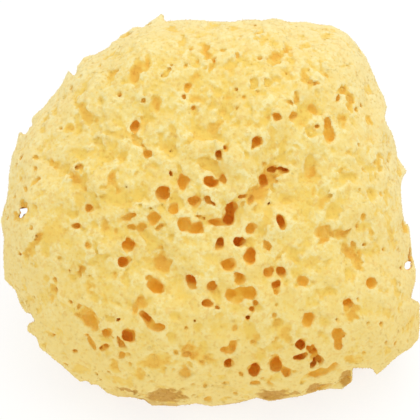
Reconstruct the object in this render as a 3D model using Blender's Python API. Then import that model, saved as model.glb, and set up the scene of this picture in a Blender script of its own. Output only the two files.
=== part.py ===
"""A natural honeycomb bath sponge, cut off flat where it grew on the rock.

The sponge is one piece. Its widest section is an outline on a plane that leans back, so that the
front of the sponge looks forwards and upwards. The body swells in front of that plane and behind
it, and is cut level underneath. Canals of many widths open all over it.

Lengths are in millimetres until a mesh is made. Most are given in the face's own axes: across
(to the right), up (along the leaning plane) and out (away from it, to the front).
"""

import math
import random

import bmesh
import bpy
import numpy as np
from mathutils import Matrix, Vector
from mathutils.bvhtree import BVHTree

MM = 0.001

FACE_LIFT = math.radians(40)  # how far above the horizon the face looks
FRONT_SWELL = 44  # from the outline's plane to the front
BACK_SWELL = 60
FRONT_FULLNESS = 2.3  # 2 is an ellipse, and more is squarer
BACK_FULLNESS = 2.6
MIDDLE = Vector((-0.1, -5.6, 53.0))  # the outline's middle, from the middle of the cut base
MEAN_REACH = 62  # from the middle to the skin
SIGHT_DISTANCE = 750  # the places of the pores are as seen from this far in front of the middle
SEED = 11

# The widest section, across and up, anticlockwise from the right
OUTLINE = (
    (71.5, -8), (68.5, 8), (67.5, 18), (64, 30), (62.5, 42), (57.5, 52), (49, 63), (36, 66.5),
    (24, 68.5), (10, 68.4), (-3, 68.5), (-16, 67), (-27, 64), (-38, 57.5), (-48, 50),
    (-57, 38.5), (-65, 29), (-71, 18), (-74, 2), (-74, -10), (-72.5, -23), (-67, -33),
    (-64, -44), (-56, -53), (-46, -60.5), (-34, -65), (-20, -69), (-5, -69), (8, -69),
    (22, -67), (36, -65), (50, -60), (62, -56), (71, -48), (74.5, -36), (73, -22),
)

# Swellings and dips: across, up, out (a direction from the middle), height, spread
LUMPS = (
    (9, 17, 40, 4.0, 13), (-18, 47, 28, 3.0, 14), (-34, 34, 30, 2.0, 10), (-55, 4, 22, 2.5, 14),
    (-45, -20, 32, 2.0, 12), (20, 45, 32, 2.5, 15), (48, 8, 30, 2.5, 13), (59, -42, 14, 4.0, 12),
    (-10, -40, 35, 2.0, 12), (22, -36, 36, 2.5, 12), (-50, -42, 15, 2.5, 10),
    (19, 12, 40, -3.5, 8), (-40, 26, 32, -2.5, 8), (50, -14, 32, -3.0, 9), (-44, -37, 20, -2.5, 7),
    (-2, 30, 40, -2.0, 8), (66, -6, 10, -2.0, 8), (-20, -18, 42, -2.0, 9),
)

# Points, steps and notches of the rim: across, up, height, spread
RIM_TUFTS = (
    (-17.3, 70, 3.0, 3), (-50.4, 51, 3.0, 3), (-47.5, 49, -2.0, 3), (-68, 28, 3.0, 3),
    (70.5, 13, 3.5, 4), (65, 24, -1.5, 5), (-65.5, -42, 3.0, 3), (-62, -38, -2.5, 3),
    (59.8, -59, 3.5, 4), (52, -57, -4.0, 4), (75, -42, 1.5, 7), (72, -30, -1.5, 4),
    (-48, -62, 1.5, 6), (2, -70, 1.5, 7), (24, 70, 1.0, 7), (63, 39, 1.0, 5),
)

BACK_LUMPS = 26  # broad ones, on the sides and the back
BACK_LUMP_FOREMOST = -0.15
BACK_LUMP_HEIGHT = (-2.5, 4.0)
BACK_LUMP_SPREAD = (9, 20)
SMALL_LUMPS = 190  # all over
SMALL_LUMP_HEIGHT = (-3.2, 2.6)
SMALL_LUMP_SPREAD = (4.5, 8)

# The pores of the face: across, up, width, length, turn of the length in degrees, depth
FACE_PORES = (
    (-27.5, 30.5, 3.2, 3.4, 0, 9), (-22.5, 20.5, 2.5, 2.5, 0, 6), (-9.5, 10, 3.6, 5.0, 60, 12),
    (-17, 6.5, 4.8, 5.0, 0, 12), (-5, 3.5, 4.0, 4.3, 90, 10), (-13, 0.5, 3.6, 4.0, 90, 8),
    (-43.5, 1.5, 2.4, 2.6, 0, 6), (0.5, 11, 3.2, 4.5, 0, 10), (5.2, 12.3, 3.0, 3.2, 0, 10),
    (-0.5, 4, 2.8, 3.2, 30, 10), (-1, 56, 3.2, 9.0, 80, 4), (-26.5, 51, 5.0, 10.0, 60, 5),
    (-35.5, 48, 3.0, 5.0, 75, 4), (-51, 30, 3.0, 3.6, 0, 4), (-20, 39, 4.0, 5.5, 40, 4),
    (-47, 15.5, 3.2, 3.6, 0, 4), (-35.5, 9.5, 3.5, 3.8, 90, 4), (-70, -1.5, 3.6, 4.0, 0, 4),
    (25, 57, 3.2, 10.5, 44, 5), (35, 47, 3.2, 6.0, -60, 3), (31.5, 40.5, 2.6, 3.0, 0, 4),
    (36.5, 36.5, 3.5, 3.6, 0, 6), (24, 34, 2.6, 3.0, 0, 7), (30, 34, 2.5, 3.4, 0, 7),
    (33, 31, 2.6, 2.6, 0, 4), (42.5, 29.5, 2.8, 9.3, 92, 6), (50, 39, 2.4, 9.0, 85, 3),
    (57, 32.5, 2.6, 3.0, 90, 4), (61, 18, 3.2, 4.2, 80, 4), (17, 24.5, 3.4, 3.6, 90, 12),
    (3.5, 20.5, 2.6, 2.6, 0, 8), (19, 10.5, 3.0, 4.3, 70, 12), (25, 14.5, 2.4, 4.8, 0, 8),
    (35.5, 12, 4.5, 5.5, 60, 4), (41, 3.5, 3.0, 5.5, 15, 3), (7.5, 0.5, 4.0, 8.0, 75, 14),
    (2.5, -4, 2.4, 5.0, 0, 10), (-61.5, -9.5, 2.6, 3.0, 0, 4), (-66, -15.5, 2.9, 3.2, 0, 4),
    (-46, -21, 2.5, 3.6, 100, 4), (-34, -22.5, 2.4, 2.6, 90, 4), (-29.5, -2, 2.4, 6.5, 17, 5),
    (-24.5, -6, 2.9, 3.2, 0, 7), (-20.5, -2.5, 4.3, 4.7, 90, 9), (-17.5, -5.7, 2.4, 3.0, 30, 6),
    (-9, -4.5, 4.4, 4.7, 0, 6), (-5, -6.2, 4.0, 4.5, 0, 7), (-29, -12.5, 4.0, 4.0, 0, 7),
    (-30.5, -18, 3.7, 4.3, 0, 9), (-17.5, -18.5, 6.0, 8.3, 95, 5), (-19.5, -27, 5.0, 5.4, -30, 7),
    (-7, -25.5, 4.3, 4.3, 0, 10), (0.5, -27, 3.4, 3.6, 0, 7), (-1.5, -33, 2.5, 3.6, 10, 6),
    (-26, -34, 2.9, 4.5, 60, 5), (-21.5, -38.5, 2.7, 5.5, -50, 9), (-18.5, -41.3, 2.9, 5.5, -5, 9),
    (-45.5, -36, 3.0, 5.0, -60, 4), (-42, -39.5, 3.6, 6.0, -40, 4), (-37.5, -43.5, 2.9, 3.3, 90, 8),
    (-29, -44.5, 4.2, 5.2, -50, 10), (-31.5, -47.8, 2.4, 3.0, -60, 6), (-32, -51.7, 2.4, 2.9, 90, 5),
    (-6.5, -50, 4.3, 4.5, 0, 4), (-9, -57.5, 4.0, 4.3, 90, 5), (15, -6.5, 3.7, 4.0, 0, 4),
    (26, -4, 2.9, 4.3, 90, 13), (3.5, -11.5, 2.9, 3.2, 90, 11), (11, -11.5, 3.7, 4.0, 0, 11),
    (14.5, -16, 4.0, 4.5, 70, 9), (7, -19.5, 4.3, 4.7, 90, 6), (11, -24, 4.0, 4.3, 0, 6),
    (20.8, -22, 3.3, 3.3, 0, 8), (25.2, -22, 3.5, 3.6, 0, 7), (24, -27.5, 3.0, 3.2, 0, 8),
    (33.5, -25, 3.6, 3.6, 0, 6), (7.5, -30, 3.8, 4.0, 0, 5), (13.5, -29.5, 3.8, 8.0, 5, 5),
    (40.5, -7.5, 4.0, 7.0, 80, 4), (51, -15, 5.5, 9.0, -50, 4), (58, -25.5, 3.4, 3.6, 0, 5),
    (50, -33, 3.0, 3.8, 0, 8), (51, -36.5, 4.5, 5.0, 90, 4), (35, -39, 3.6, 5.4, 90, 8),
    (46, -44, 4.3, 4.3, 0, 5), (46.5, -48.2, 3.2, 3.6, 0, 4), (33, -47.5, 3.3, 3.3, 0, 10),
    (32.5, -52, 2.9, 4.3, 10, 8), (38, -51.5, 2.9, 5.0, -60, 8), (40.5, -57.5, 3.2, 9.0, 5, 5),
    (7, -54.5, 2.9, 2.9, 0, 8), (16, -57, 4.0, 5.0, 90, 10), (23.5, -55, 4.7, 5.2, 90, 10),
    (27.5, -57.3, 3.2, 3.4, 0, 6), (7, -48.5, 4.0, 4.3, 45, 4), (65.5, -8, 2.9, 12.0, -75, 4),
)

FACE_PORE_LEAN = 0.12  # how far a canal's way strays from straight in, at most
BACK_PORES = 96
BACK_PORE_WIDTH = (2.6, 5.4)
BACK_PORE_DEPTH = (5, 12)
BACK_PORE_STRETCH = (1, 1, 1.2, 1.5)  # lengths for a width of 1
BACK_PORE_LEAN = 0.3
BACK_PORE_LOWEST = 5  # above the base
BACK_PORE_FOREMOST = -0.08  # part of the direction from the middle that is to the front
PORE_GAP = 8.5  # between the middles of two scattered pores
BASE_PORES = 12
BASE_PORE_DEPTH = 7
BASE_PORE_SCATTER = (30, 18)
BASE_MOUNT_CLEAR = 12  # the middle of the base stays whole for this far

SKIN_POINTS = 1780
SKIN_ROUGHNESS = 0.6  # how far a corner of the skin strays in or out
PORE_SIDES = 6
PORE_BOTTOM = 0.6  # share of the mouth's width that is left at the bottom
PORE_OVERSHOOT = 5  # how far a pore's cutter stands out of the surface
FAR_OUTSIDE = 200
SHARP_EDGE = math.radians(38)

FACE_OUT = Vector((0, -math.cos(FACE_LIFT), math.sin(FACE_LIFT)))
FACE_UP = Vector((0, math.sin(FACE_LIFT), math.cos(FACE_LIFT)))
FACE_TO_WORLD = Matrix((Vector((1, 0, 0)), FACE_UP, FACE_OUT)).transposed()


def clear_scene():
    for obj in list(bpy.data.objects):
        bpy.data.objects.remove(obj)


def world_point(face_point):
    """A point of the face's axes, in millimetres, as a world point in metres."""
    return (FACE_TO_WORLD @ Vector(face_point) + MIDDLE) * MM


def all_lumps(rng):
    """(unit direction, height, spread as an angle) of every swelling, dip and rim tuft."""
    rows = [(Vector(row[:3]), row[3], row[4]) for row in LUMPS]
    rows += [(Vector((across, up, 0)), height, spread) for across, up, height, spread in RIM_TUFTS]
    scattered = (
        (BACK_LUMPS, BACK_LUMP_HEIGHT, BACK_LUMP_SPREAD, BACK_LUMP_FOREMOST),
        (SMALL_LUMPS, SMALL_LUMP_HEIGHT, SMALL_LUMP_SPREAD, 1),
    )
    for count, heights, spreads, foremost in scattered:
        for _ in range(count):
            place = random_direction(rng, foremost) * MEAN_REACH
            rows.append((place, rng.uniform(*heights), rng.uniform(*spreads)))
    return [(place.normalized(), height, spread / place.length) for place, height, spread in rows]


def random_direction(rng, foremost):
    """A unit direction whose part towards the front is no more than foremost."""
    while True:
        direction = Vector([rng.gauss(0, 1) for _ in range(3)]).normalized()
        if direction.z <= foremost:
            return direction


def reach(directions, lumps):
    """How far the skin is from the middle, in each unit direction of the face's axes."""
    across, up, out = np.asarray(directions, float).T
    corners = np.array(OUTLINE, float)
    rim = np.interp(
        np.arctan2(up, across),
        np.arctan2(corners[:, 1], corners[:, 0]),
        np.hypot(corners[:, 0], corners[:, 1]),
        period=2 * math.pi,
    )
    swell = np.where(out > 0, FRONT_SWELL, BACK_SWELL)
    fullness = np.where(out > 0, FRONT_FULLNESS, BACK_FULLNESS)
    flat = np.hypot(across, up) / rim
    far = (flat**fullness + (np.abs(out) / swell) ** fullness) ** (-1 / fullness)
    for place, height, spread in lumps:
        turn = np.arccos(np.clip(np.stack([across, up, out], 1) @ np.array(place), -1, 1))
        far = far + height * np.exp(-((turn / spread) ** 2))
    return far


def make_body(lumps, rng):
    """The whole body without pores, as one closed mesh that is cut level at the base."""
    bm = bmesh.new()
    golden_turn = math.pi * (3 - math.sqrt(5))
    for step in range(SKIN_POINTS):
        out = 1 - (2 * step + 1) / SKIN_POINTS
        flat = math.sqrt(1 - out * out)
        turn = golden_turn * step
        bm.verts.new((flat * math.cos(turn), flat * math.sin(turn), out))
    bmesh.ops.convex_hull(bm, input=bm.verts[:])
    for vert, far in zip(bm.verts, reach([vert.co for vert in bm.verts], lumps)):
        vert.co = world_point(vert.co * (far + rng.uniform(-SKIN_ROUGHNESS, SKIN_ROUGHNESS)))
    geometry = bm.verts[:] + bm.edges[:] + bm.faces[:]
    cut = bmesh.ops.bisect_plane(
        bm, geom=geometry, plane_co=(0, 0, 0), plane_no=(0, 0, -1), clear_outer=True, dist=1e-6
    )
    rim = [edge for edge in cut["geom_cut"] if isinstance(edge, bmesh.types.BMEdge)]
    bmesh.ops.edgeloop_fill(bm, edges=rim)
    bmesh.ops.recalc_face_normals(bm, faces=bm.faces[:])
    return bm


def add_pore_cutter(bm, mouth, inwards, width, length, depth, turn_axis):
    """One tapered canal: an oval cone from outside the mouth to its narrow bottom.

    It has the stated width and length at the mouth, and goes on widening outside it.
    """
    inwards = inwards.normalized()
    along = (turn_axis - turn_axis.dot(inwards) * inwards).normalized()
    beside = inwards.cross(along)
    start = mouth - inwards * PORE_OVERSHOOT * MM
    tall = (depth + PORE_OVERSHOOT) * MM
    spin = Matrix((along, beside, inwards)).transposed().to_4x4()
    shape = Matrix.Diagonal((length / 2 * MM, width / 2 * MM, 1, 1))
    bmesh.ops.create_cone(
        bm,
        cap_ends=True,
        segments=PORE_SIDES,
        radius1=1 + (1 - PORE_BOTTOM) * PORE_OVERSHOOT / depth,
        radius2=PORE_BOTTOM,
        depth=tall,
        matrix=Matrix.Translation(start + inwards * tall / 2) @ spin @ shape,
    )


def lean(rng, most):
    return Vector([rng.uniform(-most, most) for _ in range(3)])


def too_near(mouth, mouths):
    return any((mouth - other).length < PORE_GAP * MM for other in mouths)


def add_face_pores(bm, skin, rng):
    """Pores of the face, each where the line of sight through its place meets the skin."""
    eye = world_point((0, 0, SIGHT_DISTANCE))
    for across, up, width, length, turn, depth in FACE_PORES:
        sight = (world_point((across, up, 0)) - eye).normalized()
        mouth = skin.ray_cast(eye, sight)[0]
        inwards = sight + lean(rng, FACE_PORE_LEAN)
        turned = Vector((math.cos(math.radians(turn)), math.sin(math.radians(turn)), 0))
        add_pore_cutter(bm, mouth, inwards, width, length, depth, FACE_TO_WORLD @ turned)


def add_back_pores(bm, skin, rng):
    """Pores scattered over the sides and the back, none nearer to another than the gap."""
    mouths = []
    while len(mouths) < BACK_PORES:
        outwards = FACE_TO_WORLD @ random_direction(rng, BACK_PORE_FOREMOST)
        mouth, normal = skin.ray_cast((MIDDLE + outwards * FAR_OUTSIDE) * MM, -outwards)[:2]
        if mouth.z < BACK_PORE_LOWEST * MM or too_near(mouth, mouths):
            continue
        mouths.append(mouth)
        inwards = lean(rng, BACK_PORE_LEAN) - normal
        width = rng.triangular(*BACK_PORE_WIDTH, BACK_PORE_WIDTH[0])
        length = width * rng.choice(BACK_PORE_STRETCH)
        depth = rng.uniform(*BACK_PORE_DEPTH)
        add_pore_cutter(bm, mouth, inwards, width, length, depth, random_direction(rng, 1))


def add_base_pores(bm, skin, rng):
    """Canals that the level cut laid open."""
    mouths = []
    up = Vector((0, 0, 1))
    while len(mouths) < BASE_PORES:
        across, back = (rng.gauss(0, spread) for spread in BASE_PORE_SCATTER)
        mouth = skin.ray_cast(Vector((across, back, -FAR_OUTSIDE)) * MM, up)[0]
        if mouth is None or mouth.z > MM / 10 or mouth.xy.length < BASE_MOUNT_CLEAR * MM:
            continue
        if too_near(mouth, mouths):
            continue
        mouths.append(mouth)
        width = rng.uniform(*BACK_PORE_WIDTH)
        add_pore_cutter(bm, mouth, up, width, width, BASE_PORE_DEPTH, Vector((1, 0, 0)))


def mesh_object(name, bm):
    mesh = bpy.data.meshes.new(name)
    bm.to_mesh(mesh)
    bm.free()
    obj = bpy.data.objects.new(name, mesh)
    bpy.context.scene.collection.objects.link(obj)
    return obj


def sponge_material():
    material = bpy.data.materials.new("cream sponge")
    material.use_nodes = True
    shader = material.node_tree.nodes["Principled BSDF"]
    shader.inputs["Base Color"].default_value = (0.90, 0.68, 0.28, 1)
    shader.inputs["Roughness"].default_value = 0.95
    shader.inputs["Metallic"].default_value = 0
    return material


def main():
    clear_scene()
    rng = random.Random(SEED)
    body = make_body(all_lumps(rng), rng)
    skin = BVHTree.FromBMesh(body)
    sponge = mesh_object("sponge", body)
    sponge.data.materials.append(sponge_material())

    canals = bmesh.new()
    add_face_pores(canals, skin, rng)
    add_back_pores(canals, skin, rng)
    add_base_pores(canals, skin, rng)
    cutter = mesh_object("pore_cutter", canals)
    cutter.hide_render = True
    cutter.display_type = "WIRE"

    pores = sponge.modifiers.new("pores", "BOOLEAN")
    pores.object = cutter
    pores.operation = "DIFFERENCE"
    pores.solver = "EXACT"
    pores.use_self = True
    sponge.data.shade_smooth()
    sponge.data.set_sharp_from_angle(angle=SHARP_EDGE)


main()
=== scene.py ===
import math
import random

import bpy
import numpy as np
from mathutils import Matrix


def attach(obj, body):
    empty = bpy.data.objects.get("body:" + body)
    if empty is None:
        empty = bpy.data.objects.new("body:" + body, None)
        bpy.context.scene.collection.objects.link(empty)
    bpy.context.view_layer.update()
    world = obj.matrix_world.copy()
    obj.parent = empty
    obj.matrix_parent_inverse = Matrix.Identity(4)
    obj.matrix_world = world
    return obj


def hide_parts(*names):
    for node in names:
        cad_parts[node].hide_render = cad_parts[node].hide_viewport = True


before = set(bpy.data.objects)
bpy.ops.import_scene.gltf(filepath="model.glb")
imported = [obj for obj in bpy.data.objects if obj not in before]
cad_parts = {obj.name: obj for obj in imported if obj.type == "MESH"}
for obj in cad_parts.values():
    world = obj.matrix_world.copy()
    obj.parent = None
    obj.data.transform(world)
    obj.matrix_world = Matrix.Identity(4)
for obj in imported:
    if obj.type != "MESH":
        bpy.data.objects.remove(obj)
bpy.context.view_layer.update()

import openvdb
from mathutils import Matrix, Vector

# One honeycomb bath sponge. Lengths are in millimetres in the face's own axes until a mesh is made:
# across (to the right), up (along the leaning face) and out (towards the viewer).

mm = 0.001

# the same form as the solid's
form = {
    "lift": 40,  # how far above the horizon the face looks, in degrees
    "swell": (44, 60),  # in front and behind
    "fullness": (2.3, 2.6),  # 2 is an ellipse, and more is squarer
    "middle": (-0.1, -5.6, 53),  # the outline's middle, in the frame
    "meanReach": 62,
    "sight": 750,  # the viewer's distance from the middle
    "seed": 11,
    "outline": (
        (71.5, -8), (68.5, 8), (67.5, 18), (64, 30), (62.5, 42), (57.5, 52), (49, 63), (36, 66.5),
        (24, 68.5), (10, 68.4), (-3, 68.5), (-16, 67), (-27, 64), (-38, 57.5), (-48, 50), (-57, 38.5),
        (-65, 29), (-71, 18), (-74, 2), (-74, -10), (-72.5, -23), (-67, -33), (-64, -44), (-56, -53),
        (-46, -60.5), (-34, -65), (-20, -69), (-5, -69), (8, -69), (22, -67), (36, -65), (50, -60),
        (62, -56), (71, -48), (74.5, -36), (73, -22),
    ),
    # across, up, out, height, spread; the last ones are the rim's tufts and notches
    "lumps": (
        (9, 17, 40, 4, 13), (-18, 47, 28, 3, 14), (-34, 34, 30, 2, 10), (-55, 4, 22, 2.5, 14),
        (-45, -20, 32, 2, 12), (20, 45, 32, 2.5, 15), (48, 8, 30, 2.5, 13), (59, -42, 14, 4, 12),
        (-10, -40, 35, 2, 12), (22, -36, 36, 2.5, 12), (-50, -42, 15, 2.5, 10), (19, 12, 40, -3.5, 8),
        (-40, 26, 32, -2.5, 8), (50, -14, 32, -3, 9), (-44, -37, 20, -2.5, 7), (-2, 30, 40, -2, 8),
        (66, -6, 10, -2, 8), (-20, -18, 42, -2, 9),
        (-17.3, 70, 0, 3, 3), (-50.4, 51, 0, 3, 3), (-47.5, 49, 0, -2, 3), (-68, 28, 0, 3, 3),
        (70.5, 13, 0, 3.5, 4), (65, 24, 0, -1.5, 5), (-65.5, -42, 0, 3, 3), (-62, -38, 0, -2.5, 3),
        (59.8, -59, 0, 3.5, 4), (52, -57, 0, -4, 4), (75, -42, 0, 1.5, 7), (72, -30, 0, -1.5, 4),
        (-48, -62, 0, 1.5, 6), (2, -70, 0, 1.5, 7), (24, 70, 0, 1, 7), (63, 39, 0, 1, 5),
    ),
    # how many, heights, spreads, the foremost direction
    "scattered": ((26, (-2.5, 4), (9, 20), -0.15), (190, (-3.2, 2.6), (4.5, 8), 1)),
}

lift = math.radians(form["lift"])
fromFace = Matrix((
    (1, 0, 0),
    (0, math.sin(lift), math.cos(lift)),
    (0, -math.cos(lift), math.sin(lift)),
)).transposed()
middle = Vector(form["middle"])


def toFrame(places):
    world = places @ np.array(fromFace).T + np.array(middle)
    return world * mm


def randomDirection(draw, foremost):
    while True:
        direction = Vector([draw.gauss(0, 1) for _ in range(3)]).normalized()
        if direction.z <= foremost:
            return direction


def allLumps():
    draw = random.Random(form["seed"])
    rows = [(Vector(row[:3]), *row[3:]) for row in form["lumps"]]
    for count, heights, spreads, foremost in form["scattered"]:
        for _ in range(count):
            place = randomDirection(draw, foremost) * form["meanReach"]
            rows.append((place, draw.uniform(*heights), draw.uniform(*spreads)))
    return [(np.array(place.normalized()), height, spread / place.length)
            for place, height, spread in rows]


# how far the skin is from the middle, by turn round the face and slant from its middle
def reachAt(turn, slant, lumps):
    corners = np.array(form["outline"], float)
    rim = np.interp(turn, np.arctan2(corners[:, 1], corners[:, 0]),
                    np.hypot(corners[:, 0], corners[:, 1]), period=2 * math.pi)
    flat, out = np.sin(slant), np.cos(slant)
    swell, fullness = (np.where(out > 0, *form[name]) for name in ("swell", "fullness"))
    reach = ((flat / rim) ** fullness + (np.abs(out) / swell) ** fullness) ** (-1 / fullness)
    spots = np.stack([flat * np.cos(turn), flat * np.sin(turn), out + 0 * turn], -1)
    for place, height, spread in lumps:
        away = np.arccos(np.clip(spots @ place, -1, 1))
        reach += height * np.exp(-((away / spread) ** 2))
    return reach


sponge = {
    "step": 0.55,  # between the volume's samples
    "low": (-80, -76, -68), "high": (80, 76, 54),
    "noiseSpread": 0.35,  # how mixed the wavelengths of a noise are
    "sought": (-70, 75, 0.25),  # where a sight line looks for the skin: from, to, step
    "faces": 196000,
    # the back gives up more of its triangles; its least weight, and how much each tenth adds
    "backThinning": 0.5, "backFrom": (20, -20), "backWeight": (0.05, 0.095),
    "skinDepth": 0.3,  # what is less deep than this counts as skin
    "grain": 0.06, "grainShade": 0.4,  # how far single points stand out of the skin, and how much paler they are painted: painted highlight on raised points, painted shade on sunk ones
    "blurs": (2.2, 1.0),  # over these the surroundings are averaged for the colour: painted shade in hollows and creases
}


class Volume:
    # a box of samples: negative in the sponge, positive outside, about a distance near the skin

    def __init__(self):
        self.step = sponge["step"]
        self.low = np.array(sponge["low"], float)
        # multiples of 8 suit the transform
        counts = np.ceil((np.array(sponge["high"]) - self.low) / self.step / 8).astype(int) * 8
        self.counts = tuple(counts)
        self.axes = [(low + self.step * np.arange(count)).astype(np.float32)
                     for low, count in zip(self.low, counts)]
        self.across, self.up, self.out = np.meshgrid(*self.axes, indexing="ij", sparse=True)

    def tabulate(self, lumps):
        self.turns, self.slants = 720, 360
        turn = np.linspace(-math.pi, math.pi, self.turns + 1)
        slant = np.linspace(0, math.pi, self.slants + 1)
        self.table = reachAt(turn[None, :], slant[:, None], lumps).astype(np.float32)

    # the skin's distance from the middle in the direction of each place
    def reach(self, across, up, out):
        far = np.sqrt(across**2 + up**2 + out**2) + 1e-6
        turnAt = (np.arctan2(up, across) / math.pi + 1) * self.turns / 2
        slantAt = np.arccos(np.clip(out / far, -1, 1)) / math.pi * self.slants
        t0 = np.minimum(turnAt.astype(np.int32), self.turns - 1)
        s0 = np.minimum(slantAt.astype(np.int32), self.slants - 1)
        t, s = turnAt - t0, slantAt - s0
        reach = (1 - s) * (1 - t) * self.table[s0, t0] + (1 - s) * t * self.table[s0, t0 + 1]
        reach += s * (1 - t) * self.table[s0 + 1, t0] + s * t * self.table[s0 + 1, t0 + 1]
        return reach, far

    def startForm(self):
        reach, far = self.reach(self.across, self.up, self.out)
        self.field = (far - reach).astype(np.float32)

    # white noise, split by wavelength
    def startNoise(self):
        white = np.random.default_rng(relief["seed"]).standard_normal(self.counts, dtype=np.float32)
        self.spectrum = np.fft.rfftn(white)
        freqs = [np.fft.fftfreq(n, self.step) for n in self.counts[:2]]
        freqs.append(np.fft.rfftfreq(self.counts[2], self.step))
        a, b, c = np.meshgrid(*freqs, indexing="ij", sparse=True)
        self.frequency = np.sqrt(a * a + b * b + c * c).astype(np.float32)

    # a shift makes another noise of the same kind
    def noise(self, wavelength, shift=0):
        band = np.exp(-((self.frequency * wavelength - 1) / sponge["noiseSpread"]) ** 2 / 2)
        made = np.fft.irfftn(self.spectrum * band, s=self.counts).astype(np.float32)
        if shift:
            made = np.roll(made, (shift, 2 * shift, 3 * shift), (0, 1, 2))
        return made / made.std()

    def blurred(self, volume, spread):
        soft = np.exp(-2 * (math.pi * self.frequency * spread) ** 2)
        return np.fft.irfftn(np.fft.rfftn(volume) * soft, s=self.counts).astype(np.float32)

    # the part of the box round a place, as slices and places
    def window(self, place, half):
        low = np.floor((np.array(place) - half - self.low) / self.step).astype(int)
        high = np.ceil((np.array(place) + half - self.low) / self.step).astype(int) + 1
        low, high = np.clip(low, 0, self.counts), np.clip(high, 0, self.counts)
        cut = tuple(slice(a, b) for a, b in zip(low, high))
        return cut, np.meshgrid(*(self.axes[k][cut[k]] for k in range(3)), indexing="ij")

    def sample(self, volume, places):
        at = np.clip((places - self.low) / self.step, 0, np.array(self.counts) - 1.001)
        base = at.astype(int)
        part = at - base
        total = np.zeros(len(places))
        for corner in np.ndindex(2, 2, 2):
            offset = np.array(corner[::-1])
            weight = np.prod(np.where(offset, part, 1 - part), axis=1)
            i, j, k = (base + offset).T
            total += weight * volume[i, j, k]
        return total


def smoothStep(low, high, value):
    t = np.clip((value - low) / (high - low), 0, 1)
    return t * t * (3 - 2 * t)


def smoothMax(a, b, width):
    mix = np.clip(0.5 + 0.5 * (a - b) / width, 0, 1)
    return b + (a - b) * mix + width * mix * (1 - mix)


# where the line of sight through a place of the face meets the skin, and its direction
def sightHit(volume, across, up):
    eye = np.array((0, 0, form["sight"]), float)
    way = np.array((across, up, 0), float) - eye
    way /= np.linalg.norm(way)
    steps = form["sight"] + np.arange(*sponge["sought"])
    places = eye + way * steps[:, None]
    reach, far = volume.reach(*places.T)
    inside = np.nonzero(far < reach)[0]
    at = inside[0] if len(inside) else np.argmin(far - reach)
    return places[at], way


# the thin fringe that reaches the ragged edge
fringe = {
    "out": 3,  # where it lies
    # half its thickness and how fast it thickens, before and after the relief
    "half": (1.6, 0.9), "slope": (1.3, 0.8),
    "blend": 1.0, "within": 14,  # how softly and how far inside the edge it joins the body
    "cell": 0.4, "span": 90,  # of the table of distances from the edge
}

# the edge as the photograph shows it, across and up, from the top tuft to the right
raggedEdge = (
    (-17.6, 70.9), (-16.4, 70.4), (-16.7, 68.8), (-16.2, 67.9), (-14.4, 68.2), (-10.8, 68.6), (-5.4, 68.6),
    (-2.9, 69.1), (-0.7, 68.2), (3.6, 67.9), (8.3, 67.9), (11.2, 68.4), (15.1, 68.8), (18.7, 68.4),
    (22.3, 69.1), (25.2, 68.9), (27.4, 68), (30.6, 67.7), (34.2, 67.9), (37.8, 67.1), (44.3, 66.4),
    (46.8, 65), (49, 63.7), (51.1, 61.6), (53.3, 59), (55.4, 56.2), (56.9, 53.3), (58, 50.4), (59.4, 47.2),
    (60.8, 43.9), (62.6, 40.7), (63.5, 37.1), (62.6, 33.5), (63.4, 31), (65.2, 28.1), (66.6, 23.8),
    (67.3, 19.4), (68.8, 16.9), (70.6, 14.4), (69.1, 11.9), (68.4, 9.4), (68.6, 4), (69.1, -0.7),
    (69.8, -4.3), (71.5, -5.4), (72, -10.4), (72.7, -15.8), (73.8, -21.2), (73.8, -25.2), (72.7, -28.1),
    (72, -31.3), (75.2, -33.1), (75.4, -39.2), (74.9, -45.7), (72, -49.3), (67, -52.2), (59.8, -58.9),
    (58.3, -56.3), (51.1, -56.2), (51.1, -61.2), (47.2, -64), (42.5, -63.7), (35.3, -65.7), (30.9, -66.7),
    (21.2, -68.3), (16.9, -66.9), (10.8, -68.8), (5.4, -69.5), (0, -70), (-4.7, -69), (-12, -70),
    (-20.6, -69.8), (-26.4, -67.1), (-33.1, -66.6), (-37.1, -65.2), (-40, -62.3), (-42.5, -62.3),
    (-44.3, -60.8), (-46.8, -61.2), (-52.9, -55.8), (-58.7, -50.8), (-61.2, -49.3), (-62.1, -45.4),
    (-65.7, -43), (-65.2, -40.6), (-62.6, -39.6), (-64.3, -36.5), (-66.2, -36.5), (-68.4, -32.9),
    (-69.6, -28.8), (-73.7, -24.7), (-74, -19.4), (-74.2, -14), (-73.8, -9.7), (-74.5, -6.8), (-75.1, -4),
    (-74.7, -1.1), (-74.2, 1.1), (-73.1, 2.9), (-72.4, 7.6), (-72, 13), (-71.5, 16.6), (-70.9, 20.2),
    (-69.7, 23), (-68.9, 26.3), (-68.4, 28.6), (-66.6, 27), (-65.3, 28.4), (-64.8, 29.9), (-63.7, 30.6),
    (-64.1, 32.4), (-63.7, 33.8), (-61.9, 35.3), (-59.8, 37.1), (-57.6, 40), (-55.4, 42.5), (-53.6, 45),
    (-52.2, 47.5), (-50.8, 50.8), (-49.7, 49.1), (-49, 48.4), (-47.9, 49.7), (-47.7, 51.8), (-46.4, 53.6),
    (-45.4, 55.1), (-43.2, 55.8), (-41, 56.2), (-38.5, 57.6), (-36, 59), (-35.3, 60.5), (-33.1, 61.6),
    (-32, 63.2), (-29.5, 64.4), (-27.7, 65.9), (-25.9, 66.1), (-23.8, 65.9), (-22, 67.7), (-20.2, 68.8),
    (-18.7, 69.8),
)


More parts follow.
